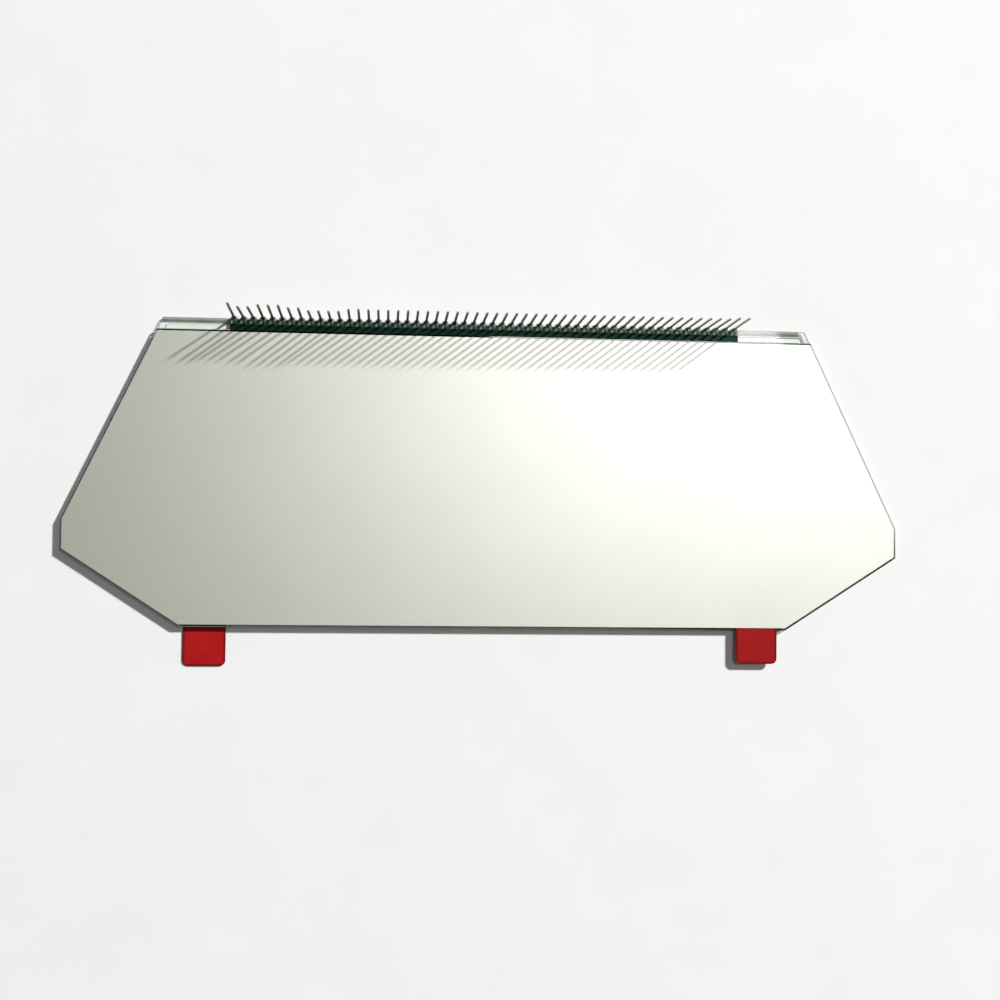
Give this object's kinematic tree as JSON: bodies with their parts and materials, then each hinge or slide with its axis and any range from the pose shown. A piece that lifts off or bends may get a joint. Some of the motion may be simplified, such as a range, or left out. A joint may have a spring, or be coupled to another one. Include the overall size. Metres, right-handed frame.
{
  "type": "lcd screen",
  "caption": "Bare segment display panel of two glass plates with films, a row of clip-on contact pins along its ledge and two red pull tabs, stored face down.",
  "frame": {"origin": "middle of the bounding box in X and Y, on the surface that the panel lies on", "axes": "+X along the row of pins, +Y towards the long edge with the pins, +Z out of the rear face, the way the leads point"},
  "size_m": [0.176, 0.0734, 0.0144],
  "materials": {
    "glass": "polished faces, ground edges",
    "seal_epoxy": "cured epoxy",
    "end_seal_resin": "clear cured resin",
    "liquid_crystal": "clear liquid layer",
    "conductive_epoxy": "silver filled epoxy",
    "front_polariser": "smooth film",
    "protective_film": "clear film",
    "reflective_film": "satin silver-grey film",
    "red_film": "smooth tape",
    "tinned_pins": "tin plated",
    "green_adhesive": "glossy cured resin"
  },
  "bodies": {
    "root": {"contact_pins_01_02": "tinned_pins", "contact_pins_03_04": "tinned_pins", "contact_pins_05_06": "tinned_pins", "contact_pins_07_08": "tinned_pins", "contact_pins_09_10": "tinned_pins", "contact_pins_11_12": "tinned_pins", "contact_pins_13_14": "tinned_pins", "contact_pins_15_16": "tinned_pins", "contact_pins_17_18": "tinned_pins", "contact_pins_19_20": "tinned_pins", "contact_pins_21_22": "tinned_pins", "contact_pins_23_24": "tinned_pins", "contact_pins_25_26": "tinned_pins", "contact_pins_27_28": "tinned_pins", "contact_pins_29_30": "tinned_pins", "contact_pins_31_32": "tinned_pins", "contact_pins_33_34": "tinned_pins", "contact_pins_35_36": "tinned_pins", "contact_pins_37_38": "tinned_pins", "contact_pins_39_40": "tinned_pins", "contact_pins_41_42": "tinned_pins", "contact_pins_43_44": "tinned_pins", "contact_pins_45_46": "tinned_pins", "contact_pins_47_48": "tinned_pins", "contact_pins_49_50": "tinned_pins", "contact_pins_51_52": "tinned_pins", "contact_pins_53_54": "tinned_pins", "end_seal": "end_seal_resin", "front_glass": "glass", "front_polariser": "front_polariser", "front_protective_film": "protective_film", "liquid_crystal": "liquid_crystal", "perimeter_seal": "seal_epoxy", "pin_adhesive": "green_adhesive", "pull_tab_left": "red_film", "pull_tab_right": "red_film", "rear_glass": "glass", "rear_polariser": "reflective_film", "transfer_dots": "conductive_epoxy"}
  },
  "joints": []
}
